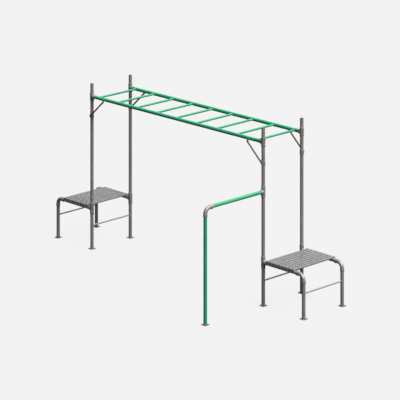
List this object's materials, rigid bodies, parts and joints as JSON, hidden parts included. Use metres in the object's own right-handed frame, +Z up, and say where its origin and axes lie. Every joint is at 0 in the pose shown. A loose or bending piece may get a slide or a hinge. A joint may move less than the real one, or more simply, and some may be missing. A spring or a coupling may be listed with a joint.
{
  "type": "monkey bars",
  "caption": "Freestanding overhead ladder on tubular posts, with a slatted step platform beyond each end and a side turning bar on its own pole.",
  "frame": {"origin": "ground level on the axis of the front left post, at the centre of its base plate's underside", "axes": "+X along the ladder towards the end with the turning bar, +Y from front to rear, +Z up; the turning bar runs out along -Y"},
  "size_m": [4.555, 1.7435, 2.162],
  "materials": {
    "galvanised": "hot-dip galvanised tube, satin",
    "fitting": "hot-dip galvanised malleable iron, slightly rough",
    "light_tube": "bright zinc-plated tube, satin",
    "green_coat": "green powder coat, semi-gloss",
    "slat": "mill-finish extrusion, fluted top",
    "brace": "dark zinc-coated bar",
    "fastener": "zinc-plated, satin",
    "cap": "moulded, matte"
  },
  "bodies": {
    "frame": {"front_left_post": "galvanised", "rear_left_post": "galvanised", "front_right_post": "galvanised", "rear_right_post": "galvanised", "post_caps": "cap", "post_base_plates": "galvanised", "front_left_leg": "galvanised", "rear_left_leg": "galvanised", "front_right_leg": "galvanised", "rear_right_leg": "galvanised", "leg_base_plates": "galvanised", "front_left_step_tee": "fitting", "rear_left_step_tee": "fitting", "front_right_step_tee": "fitting", "rear_right_step_tee": "fitting", "front_left_step_elbow": "fitting", "rear_left_step_elbow": "fitting", "front_right_step_elbow": "fitting", "rear_right_step_elbow": "fitting", "front_left_step_tube": "galvanised", "rear_left_step_tube": "galvanised", "front_right_step_tube": "galvanised", "rear_right_step_tube": "galvanised", "left_post_spreader": "light_tube", "right_post_spreader": "light_tube", "left_leg_spreader": "light_tube", "right_leg_spreader": "light_tube", "left_deck_slats": "slat", "right_deck_slats": "slat", "deck_screws": "fastener", "turning_bar": "green_coat", "turning_pole": "green_coat", "turning_bar_tee": "fitting", "turning_bar_elbow": "fitting", "pole_base_plate": "galvanised", "frame_set_screws": "fastener"},
    "ladder": {"front_rail": "green_coat", "rear_rail": "green_coat", "rung_1": "green_coat", "rung_2": "green_coat", "rung_3": "green_coat", "rung_4": "green_coat", "rung_5": "green_coat", "rung_6": "green_coat", "rung_7": "green_coat", "rung_8": "green_coat", "rung_9": "green_coat", "front_left_ladder_tee": "fitting", "rear_left_ladder_tee": "fitting", "front_right_ladder_tee": "fitting", "rear_right_ladder_tee": "fitting", "front_left_brace": "brace", "rear_left_brace": "brace", "front_right_brace": "brace", "rear_right_brace": "brace", "brace_clamps": "fitting", "brace_lugs": "green_coat", "brace_bolts": "fastener", "ladder_set_screws": "fastener"}
  },
  "joints": [
    {"name": "ladder_height", "type": "slide", "parent": "frame", "child": "ladder", "axis": [0, 0, 1], "range_m": [-0.2, 0.08]}
  ]
}
